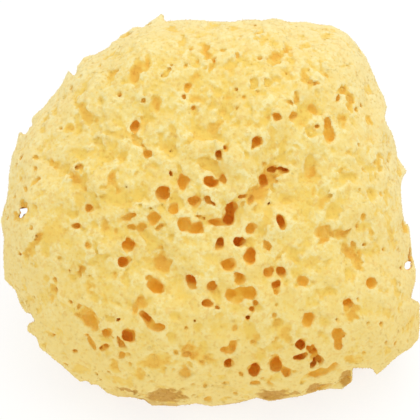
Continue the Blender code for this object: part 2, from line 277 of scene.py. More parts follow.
# how far places of the picture plane are outside the ragged edge
def beyondEdge(across, up):
    x, y = np.meshgrid(across, up, indexing="ij")
    nearest = np.full(x.shape, np.inf)
    inside = np.zeros(x.shape, bool)
    for (x0, y0), (x1, y1) in zip(raggedEdge, raggedEdge[1:] + raggedEdge[:1]):
        dx, dy = x1 - x0, y1 - y0
        t = np.clip(((x - x0) * dx + (y - y0) * dy) / (dx * dx + dy * dy), 0, 1)
        nearest = np.minimum(nearest, np.hypot(x - x0 - t * dx, y - y0 - t * dy))
        if dy:
            inside ^= ((y0 > y) != (y1 > y)) & (x < (y - y0) * dx / dy + x0)
    return np.where(inside, -nearest, nearest)


# fits the form to the ragged edge, along the lines of sight
def fitToEdge(volume, half, slope):
    cell, span = fringe["cell"], fringe["span"]
    marks = np.arange(-span, span, cell)
    table = beyondEdge(marks, marks).astype(np.float32)
    for k, out in enumerate(volume.axes[2]):
        scale = form["sight"] / (form["sight"] - out)
        i, j = (np.clip((axis * scale + span) / cell, 0, len(marks) - 2) for axis in volume.axes[:2])
        i0, j0 = i.astype(int), j.astype(int)
        s, t = (i - i0)[:, None], (j - j0)[None, :]
        low, high = ((1 - t) * table[np.ix_(row, j0)] + t * table[np.ix_(row, j0 + 1)]
                     for row in (i0, i0 + 1))
        beyond = ((1 - s) * low + s * high) / scale
        layer = volume.field[:, :, k]
        wedge = (abs(out - fringe["out"]) - half + slope * beyond) / math.hypot(1, slope)
        wedge = np.maximum(wedge, beyond)
        wedge = np.where(beyond > -fringe["within"], wedge, 9)
        layer = -smoothMax(-layer, -wedge, fringe["blend"])
        volume.field[:, :, k] = np.maximum(layer, beyond)


pores = {
    # how deep those of the face end, by how dark they look
    "depth": {"amber": 3.5, "orange": 4.9, "rust": 6.8, "dark": 9, "black": 16, "through": 70},
    "leastShare": 0.28, "sharePerWidth": 0.18,  # how much of that a narrow one has
    "toward": (-0.09, 0.13, 0), "stray": 0.1,  # the canals lead up to the left, into the body
    "ragged": ((4.2, 0.10), (2.4, 0.09)),  # their edges: wavelength, height
    # how far they stray from ovals, narrow ones and those right through less
    "warp": (0.10, 0.09), "warpWidth": 4, "warpThrough": 0.5, "rolled": (37, 59, 83),
    "sway": (0.05, 0.22), "swayWaves": (3.1, 2.7),  # how crooked they are for their width
    "outOfRound": (0.05, 0.04),
    "flare": 0.1, "flareDepth": 1.2, "flareBehind": 0.015,
    "rimRound": 0.45,
}

# those of the face, as read from the photograph: across, up, width, length, turn of the length
facePores = {"amber": (
    (-12.9, 0.9, 3.4, 4.4, 60), (-9.2, -4.5, 4.4, 4.7, 0), (-5.3, -6.1, 4, 5.6, 10),
    (15, -6.6, 3.8, 3.9, 0), (6.8, -19.2, 4.3, 4.8, 70), (11.1, -24.4, 4, 4.4, 90), (-29.5, -2.3, 2, 7, 20),
    (-28, -5.9, 2, 3.2, 0), (-24.3, -5.9, 3.2, 3.3, 0), (-20.2, -2.2, 4.2, 5, 70),
    (-29.1, -12.4, 4, 4.6, 30), (-22.3, 20.5, 2.6, 3.2, -10), (-26.8, 24.8, 1.4, 3.2, -40),
    (24, 33.8, 2.6, 3.2, 0), (21.1, 33.3, 1.3, 2.2, 0), (36.7, 36.5, 3.2, 4.2, -60),
    (42.1, 31.2, 2.6, 4.4, 95), (42.8, 27.4, 3.2, 5.4, 100), (26.3, 14.3, 1.8, 3.2, 15),
    (-70, -2, 2.8, 3.6, 100), (20.6, -12.3, 2.2, 4, -75), (7.7, -30.2, 4, 4.3, 0),
    (12.5, -29.5, 4.6, 7.5, -5), (10.1, -32, 2.4, 4.5, 20), (-19.3, -26.8, 4.6, 5.8, -30),
    (-21.9, -24.1, 1.6, 2.5, 0), (-26.8, -34.9, 2, 3.6, 80), (-32, -51.9, 2.6, 3.4, 90),
    (-42, -48.3, 1.6, 6, -65), (7.9, -48.6, 2.8, 4.6, 80), (5.4, -49.7, 2.2, 3.4, -10),
    (-6.5, -50.1, 3.2, 4.4, 60), (-0.9, -52.8, 1.6, 2.4, 0), (33.3, -25.2, 3.4, 4, -60),
    (34.9, -39.2, 3.5, 5.4, 90), (45.9, -44.3, 4, 4.2, 0), (46.1, -47.9, 3.2, 4, 90),
    (58, -26.1, 3.4, 4, -50), (-8.8, -58.5, 2.6, 4.2, 0), (16.2, -62, 2.2, 3.4, 0),
    (40.3, -58, 3.2, 9.5, 8), (44.3, -56.2, 3, 4, 60), (-0.7, -67.7, 2, 2.8, 0), (49, -35.6, 1.6, 3, 90),
    (40.6, -7.4, 3.2, 4.6, 60), (38.7, -8.4, 1.4, 2.2, 90), (41.4, -10, 2.2, 4, 30),
    (44.3, -8.4, 1.8, 3, -20), (35.3, 14.8, 1.2, 3.2, 90), (23.8, -29, 1.6, 2.2, 90),
    (-35.6, 9.7, 1.2, 1.6, 0), (-24.2, 33.1, 1.3, 1.8, -60), (-24, 23.4, 1, 2.2, -65),
    (19.6, 16.8, 1.5, 2, 60), (-23.7, 39.7, 1.3, 1.7, 60), (-40.6, 32.5, 1.1, 1.8, 90),
    (-8.6, 43.4, 1.2, 1.3, 0), (-8.8, 52.2, 1.1, 1.3, 0), (-14.6, 50.9, 1.2, 1.3, 0),
    (-17.1, 48.6, 1.1, 1.3, 0), (4.7, 57.6, 1.3, 1.6, 0), (12.1, 55.9, 1.2, 1.6, 30),
    (9.7, 43.7, 1.2, 1.4, 0), (17.1, 42.6, 1.2, 1.6, 30), (14, 52.6, 1, 1.1, 0), (12.4, 41, 1.1, 1.4, 0),
    (28.8, 56.7, 1.5, 1.8, 90), (41, 49.5, 1.2, 3, -45), (35.5, 54.2, 1, 1.5, 90), (28.6, 39, 1.1, 2, -50),
    (45.9, 40.5, 1.5, 3, 75), (47.9, 31.2, 1.8, 2.6, 90), (38.3, 30.2, 1.1, 2.3, 20),
    (36.9, 29.1, 1.1, 1.8, 80), (-55.3, 15.6, 1.3, 1.6, 0), (-50, 13.7, 1.3, 2, -50),
    (-62.6, 19.2, 1.5, 1.9, 0), (-66.2, 8, 1.4, 1.7, 0), (-46, 9.5, 0.9, 4.5, -45),
    (-51.7, -7, 1.1, 1.3, 0), (-66.4, -15.8, 1.6, 2, 0), (-43.4, -12.4, 1.6, 2.6, 80),
    (-45.5, -18.6, 1, 1.8, 60), (-43.2, -23, 1.1, 1.3, 0), (-33.6, -7.3, 1.5, 2.2, 90),
    (-17.7, -13.1, 1.3, 1.8, 0), (-29.7, 8.8, 1.1, 1.4, 0), (6.5, 24.1, 0.9, 1.3, 40),
    (9.7, 36.6, 1, 2.2, 60), (-5.8, 36.9, 1.6, 1.8, 0), (23.8, 10.6, 1.2, 1.4, 0), (55.1, -2, 1.4, 2.8, 85),
    (22.3, -20.5, 1.1, 1.4, 0), (24.2, -17, 1.3, 2.2, 50), (-48.4, -50.2, 1.6, 1.9, 0),
    (-56.7, -31.2, 1.4, 3.4, 75), (-21.9, -59.3, 1.2, 1.4, 0), (-25, -57.3, 1.9, 2.6, -50),
    (-12.2, -50.8, 1.1, 1.9, -50), (-9, -55.4, 1.2, 1.4, 0), (-8.3, -41.8, 1.1, 1.2, 0),
    (-5.4, -39.4, 1, 1.2, 0), (2.5, -34.9, 1.2, 1.7, 0), (9, -42.1, 1.4, 1.8, 60), (15.6, -47, 1.2, 1.5, 0),
    (24, -33.7, 1, 1.2, 0), (23.1, -37.6, 1.2, 2.2, 90), (23.8, -45.7, 1.1, 1.2, 0), (22.9, -47, 1, 1.5, 0),
    (29.7, -48.1, 1.2, 1.3, 0), (11, -58.3, 1.2, 2.8, -40), (-12.8, -67.7, 1.3, 2, 90),
    (-32.8, -45.8, 1.3, 2.6, -60), (11.5, 2.3, 1, 2, 70), (16.5, 1.2, 1.2, 2.8, 80),
    (18.7, 4.2, 1.1, 2, 20), (15.3, 0.6, 0.9, 1.2, 0), (42.2, -28.6, 0.9, 1.1, 0), (55.3, -51, 1.2, 1.4, 0),
), "orange": (
    (-17, 6.2, 4.9, 5, 0), (-5.4, 3.2, 3.8, 3.9, 0), (2.4, -4.1, 2.5, 5.8, -5), (-3.1, -2.5, 1.5, 3.6, -15),
    (14.4, -16.4, 4, 5, 75), (-43.3, 1.1, 2.6, 3, 30), (-17.4, -5.9, 1.8, 4, 40),
    (-28.3, -12.4, 2.4, 3.4, 90), (-30.6, -18.2, 3.6, 4.4, 0), (-26.8, 30.2, 3, 4, 40),
    (-9.3, 10.1, 3.4, 5.2, 65), (0, 10.5, 3.4, 5, -25), (4.5, 11.6, 2.4, 3.4, -60),
    (16.9, 24.8, 3.2, 3.6, 0), (30.1, 33.8, 2.6, 3.6, 0), (37.6, -53, 2.4, 3.6, -40),
    (-47.9, -5.4, 1.8, 3, 0), (21.1, -22.3, 3.2, 3.6, 60), (25.6, -22.1, 3.4, 3.8, 0),
    (-32.5, -38.7, 1.2, 2.4, 35), (-37, -43.9, 3, 4, 95), (-42.3, -40.3, 3.8, 6.5, -50),
    (-43.5, -37.4, 2.4, 4, 20), (-31.7, -47.7, 2.4, 3.6, -70), (-21, -40.6, 2.6, 3.6, -70),
    (-8.6, -51.6, 2.2, 3, 20), (-18.6, -41.9, 2.9, 5.2, 0), (-46.8, -34.6, 1.2, 2.4, 60),
    (-45.8, -37.4, 2, 5, -15), (-6.8, -25.4, 4.2, 4.2, 0), (0.7, -27, 3.4, 3.8, 0),
    (-0.9, -33.1, 2.6, 3.8, 0), (16.4, -33, 1.7, 1.7, 0), (15.1, -35.3, 1.9, 2, 0),
    (-7.7, -51.3, 1.6, 2, 0), (23.8, -26.8, 3, 3.2, 0), (49.7, -32.9, 3, 3.8, 10),
    (27.4, -57.6, 3.2, 4.2, -30), (5.6, -62, 1.6, 1.9, 0), (-1.3, -62.6, 1.6, 2.2, 0),
    (-7.7, 44.8, 1.7, 2.2, 30), (-9.3, 41.2, 1.3, 2, 90), (-44.6, 11.3, 0.9, 1.2, 0),
), "rust": (
    (-0.5, 4.1, 1.9, 2.6, -50), (1.3, 2.5, 1.4, 2.2, -45), (8, 0.7, 3.8, 4.6, 70),
    (6.5, -2.7, 4.1, 4.6, 60), (3.4, -11.9, 3, 3.6, 80), (2.7, -13.4, 1.2, 1.4, 0),
    (10.7, -11.3, 3.6, 4.3, -20), (25.9, -4, 2.9, 4.8, 90), (1.9, 10.1, 1.8, 2.4, 90),
    (3.3, 20.3, 2.3, 3, 80), (3.8, 18.7, 0.9, 1.6, 90), (5.6, 22.1, 1.3, 1.8, -60),
    (-14, 13.4, 1.1, 2, -65), (15.7, 23.2, 1.6, 2.4, 60), (-36.9, -48.6, 2, 2.6, 20),
    (-38.5, -49.5, 1.7, 2, 0), (-23, -38, 2.6, 5.2, -45), (-29, -44.7, 4.2, 5.2, -50),
    (13.6, -38.6, 1.6, 1.7, 0), (-2.3, -33.1, 1.2, 1.3, 0), (32.8, -47.7, 3.4, 3.6, 0),
    (34.4, -52, 2.4, 2.6, 0), (6.9, -54.5, 3, 3.1, 0), (15.9, -57.1, 4, 5.4, 90),
    (23.4, -55.1, 4.7, 5.4, 80), (19, 10.5, 3.2, 4.8, -75), (22.6, 14.6, 2.6, 3.6, 10),
    (11.6, 5.2, 1.4, 3.6, 10), (14.9, 4.2, 1.6, 2.4, 60),
), "dark": (
    (35.6, -49.6, 1.9, 4, -65), (37.6, -50.6, 1.9, 5, -70), (32.3, -52.6, 2.2, 4.2, 10),
    (39.7, -53.6, 1.8, 4.4, -75), (36.8, -55.4, 2.4, 3, 70), (25.3, 15.2, 1.7, 2.4, 20),
    (27.3, 14.3, 1.3, 2.6, -10),
), "black": ((21.1, 2.6, 1.4, 1.7, 30),
), "through": ((-66.7, 0.1, 2.4, 3, 0), (-67.8, -1.8, 1.3, 2.6, 60), (70.9, -19.6, 2.5, 3, 90))}


# a canal: an oval tube with a rounded end, a little crooked and not quite round
def carvePore(volume, mouth, inwards, width, length, depth, turned, draw):
    inwards = inwards / np.linalg.norm(inwards)
    along = turned - turned.dot(inwards) * inwards
    along /= np.linalg.norm(along)
    beside = np.cross(inwards, along)
    half = depth / 2 + length
    cut, (a, b, c) = volume.window(mouth + inwards * depth / 2, half + 2)
    a, b, c = a - mouth[0], b - mouth[1], c - mouth[2]
    x, y, t = (a * way[0] + b * way[1] + c * way[2] for way in (along, beside, inwards))
    through = depth == pores["depth"]["through"]
    warp = min(1, width / pores["warpWidth"]) * (pores["warpThrough"] if through else 1)
    rough, fine = pores["warp"]
    x += warp * (rough * volume.rough[cut] + fine * volume.fine[cut])
    y += warp * (rough * volume.otherRough[cut] + fine * volume.otherFine[cut])
    sway = 0 if through else draw.uniform(*pores["sway"]) * width
    phase = [draw.uniform(0, 6.28) for _ in range(4)]
    for side, wavelength, start in zip((x, y), pores["swayWaves"], phase):
        side += sway * (np.sin(t / wavelength + start) - math.sin(start))
    angle = np.arctan2(y, x)
    oval = np.sqrt((2 * x / length) ** 2 + (2 * y / width) ** 2)
    two, three = pores["outOfRound"]
    oval *= 1 + two * np.sin(2 * angle + phase[2]) + three * np.sin(3 * angle + phase[3])
    # flares a little at the mouth, or behind where it goes right through
    flare = 1 + pores["flare"] * np.exp(-np.maximum(t + 1.0, 0) / pores["flareDepth"])
    deep = np.maximum(t, 0) / depth
    if through:
        flare, deep = 1 + pores["flareBehind"] * np.maximum(t, 0), 0
    tube = (np.sqrt((oval / flare) ** 2 + deep**4) - 1) * width / 2
    for noise, (_, height) in zip((volume.rough, volume.fine), pores["ragged"]):
        tube += height * noise[cut]
    volume.field[cut] = smoothMax(volume.field[cut], -tube, pores["rimRound"])


def leaning(draw, direction, stray):
    return direction + np.array([draw.uniform(-stray, stray) for _ in range(3)])


def carveFace(volume):
    draw = random.Random(form["seed"] + 1)
    for shade, rows in facePores.items():
        for across, up, width, length, turn in rows:
            mouth, inwards = sightHit(volume, across, up)
            share = 1
            if shade != "through":
                share = min(1, pores["leastShare"] + pores["sharePerWidth"] * width)
                inwards = leaning(draw, inwards + np.array(pores["toward"]), pores["stray"])
            turned = np.array((math.cos(math.radians(turn)), math.sin(math.radians(turn)), 0))
            depth = share * pores["depth"][shade]
            carvePore(volume, mouth, inwards, width, length, depth, turned, draw)


pits = {
    # how deep each kind is, and how strong its colour, which is painted shade: golden in the pits, brown on
    # the shaded undersides
    "kinds": {"faint": (0.5, 0.4), "golden": (0.9, 0.75), "strong": (1.5, 0.95), "brown": (1.5, 1.0)},
    "edge": (0.35, 1.35), "colourEdge": (0, 0.9),
    "calm": 0.55, "level": 0.2,  # how far the skin in them is levelled, and how low
    "warp": (0.3, 0.28), "uneven": 0.12,
    "margin": 3,
}

# read in the same way
facePits = {"faint": (
    (-22.5, 53, 3.5, 4.5, 0), (-34.5, 56.9, 2.4, 2.8, 0), (-23, 42.1, 2, 3, 80), (-33.5, -60.5, 3, 7, -20),
    (-2.9, 60.1, 1.8, 3.5, 20), (-1.1, 43.2, 2.4, 5, 70), (-10.1, 59.7, 2.5, 3.5, 30),
    (-13.5, 65.5, 2.6, 5, 0), (7.9, 50.4, 3, 6, 90), (7.6, 45.7, 2.4, 3, 0), (12.6, 49.3, 1.5, 3, 0),
    (7.6, 65.7, 2.4, 4, 0), (17, 63, 2.4, 4, 60), (27.5, 49.3, 3.6, 5.5, -50), (23.4, 47.2, 2, 3, 0),
    (33.9, 58.9, 2.8, 4.5, -25), (41.8, 63, 2.8, 6, 10), (40, 53, 1.3, 5, 90), (19.5, 61.4, 2.6, 6, 60),
    (28.8, 17.3, 2.6, 4, 50), (27.7, 31, 2, 3, 60), (-55.8, 35.6, 2.4, 3.5, 90), (-60, 29.1, 1.8, 3, 90),
    (-58.7, 33.4, 1.5, 4, 60), (-47.9, 21.4, 2.4, 2.8, 0), (-68.7, 11.9, 1.5, 2.5, -40),
    (-23.7, 30.6, 3, 4, 60), (-30, 27.7, 2.6, 6, -60), (-34.5, 28, 3.4, 10, -10), (-25.5, 15.3, 2, 2.1, 0),
    (-26.8, 13.6, 1.2, 1.8, 60), (-42.5, 20.5, 2, 4.5, 0), (-17.6, 24, 2.4, 5, 90),
    (-13.5, 29.3, 2.6, 6, 90), (-6.1, 25.9, 2.6, 10, 22), (-3.3, 18, 2.5, 3.4, 0), (14.7, 31.5, 2.4, 6, 0),
    (17.3, 31.7, 2.4, 4, 20), (22.3, 26.3, 2.4, 8, 90), (31, 23.4, 1.6, 3, 0), (49.4, 21, 2, 4, 30),
    (56.5, 21.2, 1.8, 4, 90), (58.2, 25.5, 1.3, 3, -50), (59.1, 16.2, 2, 3, -45), (64.1, 18.7, 1.5, 1.6, 0),
    (59.8, 13, 1.5, 6, 90), (67.7, 14, 2.4, 4, 90), (63, 26, 1.5, 8, -65), (-30.7, 1.8, 3, 4, 0),
    (-8.1, -10.4, 3, 4, 90), (-66.9, -3.2, 2.6, 5, 20), (-53.8, 1.1, 2.2, 2.4, 0), (-56, -6.8, 7, 9, 20),
    (-46.8, 4, 3.4, 9, 90), (-44.3, 6.5, 2, 3, 90), (-47.5, -21.6, 2.6, 3, 0), (-63, -18.7, 1.5, 4, -50),
    (-57.6, -10.8, 2.4, 4, 0), (20.2, -4, 2.4, 12, 90), (29.6, 4.4, 3.6, 6, 0), (31.9, -3, 1.3, 2, 0),
    (32.5, -12, 2, 3, -50), (25.5, -14.9, 1.8, 6.5, 58), (36.7, -18, 4, 8, 0), (42, -18.8, 2.4, 3, 0),
    (46.3, 0.7, 1.8, 2.6, 0), (59.1, -12.5, 2, 11, -66), (64.8, -7.9, 3, 15, -80), (63.4, 5.4, 2.6, 8, 90),
    (51.5, -24.1, 2.6, 4.5, 60), (60.1, -1, 2, 5, 90), (69.1, -6, 1.5, 5, -85), (53.7, 6.1, 1, 4, 0),
    (-58.5, -25, 3.4, 4.6, 60), (-66.9, -28.1, 1.6, 3, 10), (-65.1, -32.4, 1.5, 7, -80),
    (-61.2, -35.3, 1.8, 4, 50), (-52.6, -33.5, 2.4, 3.5, 0), (-52.5, -51.3, 1.5, 3, 0),
    (-54.3, -43.6, 1.5, 5, 80), (-58.7, -43.9, 2, 2.5, 0), (-34, -33, 1.6, 9, -22),
    (-22.8, -17.5, 2.6, 3.6, 0), (-28.6, -62, 3, 5, -20), (-37, -51, 2.4, 4, 90),
    (-46.8, -56.9, 3.8, 8, 10), (3.2, -37.5, 2.6, 4, -70), (5.4, -41, 2.4, 3.5, 0), (-1, -54.2, 2.4, 9, 0),
    (-0.4, -58.4, 1.3, 3, 90), (5, -67.7, 2, 6, 8), (35.6, -26.3, 2.6, 4, 0), (40, -31, 2, 3, 0),
    (18.7, -50, 3, 5, 0), (65.9, -25.7, 2.4, 3, 0), (67.3, -29.5, 2, 7.5, -70), (68, -35, 2, 4, 90),
    (62.3, -28.6, 1.4, 5, 0), (63.9, -36.9, 3.2, 6, -45), (71.6, -40.3, 2.2, 7, 70),
    (69.5, -42.5, 2, 2.5, 0), (58, -46.7, 1, 2.4, 50), (63.4, -50, 2, 3.6, 90), (54, -53.2, 1.5, 5, 5),
    (46.5, 55.3, 1.2, 3, 90), (48.8, 52.2, 1.5, 3.5, 10), (56.6, 43.6, 2.4, 4, -60),
    (47.7, -60.9, 2.4, 6, 60),
), "golden": (
    (-35.5, 48.6, 2.8, 5.2, 75), (0.5, 29.5, 3.4, 5, 90), (3.5, 31.6, 2.8, 6, 25), (-5.2, 47.9, 3, 7.5, 50),
    (-4.3, 39.9, 3.2, 8, -10), (0.2, 51.3, 2.2, 5, 80), (34.2, 48.3, 3, 6, -65), (36.3, 44.8, 2.5, 3, 0),
    (60.9, 17.6, 3, 5.4, 85), (56.9, 32.2, 2.2, 3.6, -65), (32.8, 31.5, 2.5, 3.2, -40),
    (-50.4, 29.7, 3.2, 4.2, 0), (-56.2, 17.3, 2.6, 4.5, -55), (-37.8, 8.5, 2.5, 4, 0),
    (-33, 8, 2.5, 4, -20), (-63.7, -12.3, 2.6, 7, 50), (-65.1, -14.8, 3, 4, 0), (40.4, 3.2, 3.2, 6.5, 30),
    (37.1, 7.1, 1.8, 3, 60), (53, -19, 4, 4, 0), (26.7, -43.6, 5.2, 7, 80), (16.5, -45.7, 3.2, 5, 90),
    (-56.3, -27.4, 2.6, 5, 80), (-37.4, -31.1, 1.8, 2.8, 100), (50, -52.9, 3.4, 5.5, -20),
    (-8.1, -56.8, 3, 3, 0), (21.3, -60.7, 1.5, 3.4, 25), (33.3, -61.2, 1.8, 3, 60), (-6.1, -47.9, 2, 2, 0),
    (-3.2, -53.7, 2, 3, 0), (-37.3, -5.6, 4, 5, 70), (57.8, -7.2, 2, 4.5, -80), (6.3, 40.7, 2.2, 2.4, 0),
    (-45, 35.3, 3.4, 13, -54), (-43.2, -27.3, 3.4, 6, 90), (-59.9, -48.1, 1.8, 2, 0), (47, 14.7, 2.4, 4, 0),
    (24.1, -48.6, 2.4, 4, 0), (39.8, -11.8, 2, 3, 50), (-19.5, -54.3, 5.5, 13, 4),
    (-34.5, -55.5, 3.4, 4.6, 60), (-25.5, -59, 3, 4, -20), (-1, -52.2, 2.6, 6, -8),
), "strong": (
    (-47.2, 15.5, 3.2, 3.8, 90), (-48.2, 11.5, 3, 4.5, -50), (-35.4, 11.4, 3.2, 5, 90),
    (-66.9, 2.3, 2.8, 3.6, 0), (-19.8, 38.6, 3, 6, 75), (31, 40.7, 2.6, 3.6, 60), (47.6, 33.8, 3, 4.6, 85),
    (21, 13.5, 5, 9, 55), (16.5, 6.5, 5.5, 10, 40), (36.4, 13.1, 4.4, 6, 75), (46.8, -7.9, 3.4, 6, 5),
    (50.8, -15.1, 5, 11, -52), (51, -36.3, 4.4, 6.4, 75), (-17.5, -18.7, 5.8, 8, 95),
    (-34, -22.2, 2.3, 2.5, 0), (-45.9, -21.2, 2.2, 4, -75), (-61.4, -9, 2.6, 3.2, 0),
    (-33.6, 6.7, 1.8, 2.6, 90), (-25, -32.8, 4, 5, 80), (-7, -50.6, 4.6, 8.5, -32), (-9, -57, 3, 5, 80),
    (50.3, 39.4, 2.9, 9.5, -83), (47.8, 43.4, 3, 5, 35), (-43.5, -38.5, 5, 10, -48),
    (-26, 50.3, 5.2, 11, 66), (-1.2, 57, 3.2, 7, 100), (23.4, 55.1, 3.8, 6, 35), (27.7, 58, 2, 4.5, 45),
    (40.8, -7.6, 5, 6.5, 90), (-26.5, 26, 1.6, 6, -48),
), "brown": (
    (-16, -66.6, 6.4, 16, 0), (-28.5, -65, 2.4, 12, -14), (39, -63.9, 4.6, 11, 15),
    (22.8, -66.6, 5.2, 13, 0), (49.2, -60.4, 5, 8, 85), (31, -66, 2.4, 7, 8),
)}


# a soft pit, in which the skin is calmer than around it and painted more golden or brown as painted shade
def carvePit(volume, across, up, width, length, turn, depth, colour, strength):
    spot, way = sightHit(volume, across, up)
    turn = math.radians(turn)
    reach = length + pits["margin"]
    cut, (a, b, c) = volume.window(spot, reach)
    # seen along the line of sight
    scale = form["sight"] / (form["sight"] - c)
    a, b = a * scale - across, b * scale - up
    rough, fine = pits["warp"]
    a += rough * volume.rough[cut] + fine * volume.fine[cut]
    b += rough * volume.otherRough[cut] + fine * volume.otherFine[cut]
    x = a * math.cos(turn) + b * math.sin(turn)
    y = b * math.cos(turn) - a * math.sin(turn)
    oval = np.sqrt((2 * x / length) ** 2 + (2 * y / width) ** 2) + pits["uneven"] * volume.rough[cut]
    near = smoothStep(reach, length / 2, np.abs(c - spot[2]))
    share = near * (1 - smoothStep(*pits["edge"], oval))
    calm = pits["calm"] * (volume.envelope[cut] + pits["level"] - volume.field[cut])
    volume.field[cut] += share * (depth + calm)
    # painted shade of the pit
    colour[cut] = np.maximum(colour[cut], strength * smoothStep(*pits["colourEdge"], share))


def carvePits(volume):
    volume.gold, volume.brown = (np.zeros(volume.counts, np.float32) for _ in range(2))
    for kind, rows in facePits.items():
        depth, strength = pits["kinds"][kind]
        # the undersides' pits keep their painted shade apart from the golden pits
        colour = volume.brown if kind == "brown" else volume.gold
        for row in rows:
            carvePit(volume, *row, depth, colour, strength)


# what is carved where the photograph doesn't look
scatter = {
    "seed": 5,
    "pores": 300, "foremost": 0.1, "gap": 5.5, "tries": 6,
    "width": (1.8, 5.4, 1.8),  # least, most, commonest
    "stretch": (1, 1, 1.2, 1.6), "stray": 0.4,
    "depth": (4, 12), "depthShare": 0.6, "depthPerWidth": 1.2,
    "pinholes": 400, "pinForemost": 0.55, "pinStray": 0.5,
    "pinWidth": (1.0, 1.5), "pinDepth": (1.5, 3.5),
}


def skinSpot(volume, direction):
    reach, _ = volume.reach(*np.array(direction)[:, None])
    return np.array(direction) * reach[0]


def carveScattered(volume):
    draw = random.Random(scatter["seed"])
    spots = []
    for _ in range(scatter["pores"] * scatter["tries"]):
        if len(spots) == scatter["pores"]:
            break
        direction = randomDirection(draw, scatter["foremost"])
        spot = skinSpot(volume, direction)
        if any(np.linalg.norm(spot - other) < scatter["gap"] for other in spots):
            continue
        spots.append(spot)
        width = draw.triangular(*scatter["width"])
        length = width * draw.choice(scatter["stretch"])
        inwards = leaning(draw, -np.array(direction), scatter["stray"])
        depth = width * scatter["depthPerWidth"] + draw.uniform(*scatter["depth"]) * scatter["depthShare"]
        turned = np.array(randomDirection(draw, 1))
        carvePore(volume, spot, inwards, width, length, depth, turned, draw)
    for _ in range(scatter["pinholes"]):
        direction = randomDirection(draw, scatter["pinForemost"])
        spot = skinSpot(volume, direction)
        width = draw.uniform(*scatter["pinWidth"])
        inwards = leaning(draw, -np.array(direction), scatter["pinStray"])
        turned = np.array(randomDirection(draw, 1))
        depth = draw.uniform(*scatter["pinDepth"])
        carvePore(volume, spot, inwards, width, width, depth, turned, draw)


# the relief between the pores: wavelength, height
relief = {
    "seed": 7,
    "waves": ((13, 0.45), (6, 0.15)),
    "crests": ((5.2, 0.06), (2.9, 0.05)),  # sharp above and round below
    "clumps": ((10, 1.0), (5, 0.8), (2.6, 0.7)),  # the velvety crust, torn here and there
    "clumpEdge": 1.4,
    "clumpHeight": (0.2, 0.45), "clumpFrom": (-60, 40), "clumpSlant": 0.6,  # higher on the upper left
    "froth": (2.3, 0.11), "frothFrom": (-70, 30),  # fine bumps, most on the upper left
    "patchWaves": (9, 4.2), "patchDetail": 0.4,
    "patchCut": (1.5, 0.7), "patchFrom": (-5, 15),  # how rare the worn hollows are, on the face and behind
    "patchEdge": 1.0, "patchDepth": 1.4,
    "calmRim": 0.5,  # how much calmer it is towards the outline
    "rimFrom": (0.45, 0.85), "rimTo": (1.3, 1.05),  # between which slants, where 1 is the outline's
}


def addRelief(volume):
    volume.startNoise()
    reach, far = volume.reach(volume.across, volume.up, volume.out)
    slant = np.arccos(volume.out / far) / (math.pi / 2)
    nearRim = relief["calmRim"] * smoothStep(*relief["rimFrom"], slant) * smoothStep(*relief["rimTo"], slant)
    lively = 1 - nearRim
    del reach, far, slant, nearRim
    for wavelength, height in relief["waves"]:
        volume.field -= height * lively * volume.noise(wavelength)
    for wavelength, height in relief["crests"]:
        volume.field += height * lively * (np.abs(volume.noise(wavelength, 11)) - 0.8)
    wavelength, height = relief["froth"]
    height = height * smoothStep(*relief["frothFrom"], volume.up - volume.across) * lively
    volume.field += height * volume.noise(wavelength, 23)
    torn = sum(weight * volume.noise(wavelength, 5) for wavelength, weight in relief["clumps"])
    low, high = relief["clumpHeight"]
    towardsLeft = volume.up - relief["clumpSlant"] * volume.across
    height = low + (high - low) * smoothStep(*relief["clumpFrom"], towardsLeft)
    volume.field += height * lively * smoothStep(0, relief["clumpEdge"], torn / torn.std())
    del torn, height
    broad, narrow = relief["patchWaves"]
    patches = volume.noise(broad, 31) + relief["patchDetail"] * volume.noise(narrow, 43)
    front, back = relief["patchCut"]
    cut = back + (front - back) * smoothStep(*relief["patchFrom"], volume.out)
    hollow = smoothStep(0, 1, (patches - cut) / (2 * relief["patchEdge"]) + 0.5)
    volume.field += relief["patchDepth"] * lively * hollow


def makeVolume():
    volume = Volume()
    volume.tabulate(allLumps())
    volume.startForm()
    fitToEdge(volume, fringe["half"][0], fringe["slope"][0])
    volume.envelope = volume.field.copy()
    print("form done", volume.counts)
    addRelief(volume)
    volume.rough, volume.fine = (volume.noise(wavelength, 17) for wavelength, _ in pores["ragged"])
    volume.otherRough, volume.otherFine = (np.roll(noise, pores["rolled"], (0, 1, 2))
                                           for noise in (volume.rough, volume.fine))
    carvePits(volume)
    fitToEdge(volume, fringe["half"][1], fringe["slope"][1])
    print("relief done")
    volume.skin = volume.field.copy()
    carveFace(volume)
    carveScattered(volume)
    print("pores done")
    # the level cut
    height = volume.up * math.cos(lift) + volume.out * math.sin(lift) + form["middle"][2]
    volume.field = np.maximum(volume.field, -height)
    return volume


def addObject(name, data):
    obj = bpy.data.objects.new(name, data)
    bpy.context.scene.collection.objects.link(obj)
    return obj


def meshObject(name, places, faces):
    mesh = bpy.data.meshes.new(name)
    mesh.from_pydata(places, [], faces)
    mesh.shade_smooth()
    return addObject(name, mesh)


# the largest connected part of a mesh, as a mask of its points
def mainPart(pointCount, edges):
    label, before = np.arange(pointCount), None
    while not np.array_equal(label, before):
        before = label.copy()
        lowest = label[edges].min(1)
        for ends in edges.T:
            np.minimum.at(label, ends, lowest)
        label = label[label]
    names, sizes = np.unique(label, return_counts=True)
    return label == names[sizes.argmax()]


def readRows(items, field, width, kind=float):
    values = np.zeros(len(items) * width, kind)
    items.foreach_get(field, values)
    return values.reshape(-1, width)


def trianglesOf(mesh):
    return readRows(mesh.loops, "vertex_index", 1, np.int32).reshape(-1, 3)


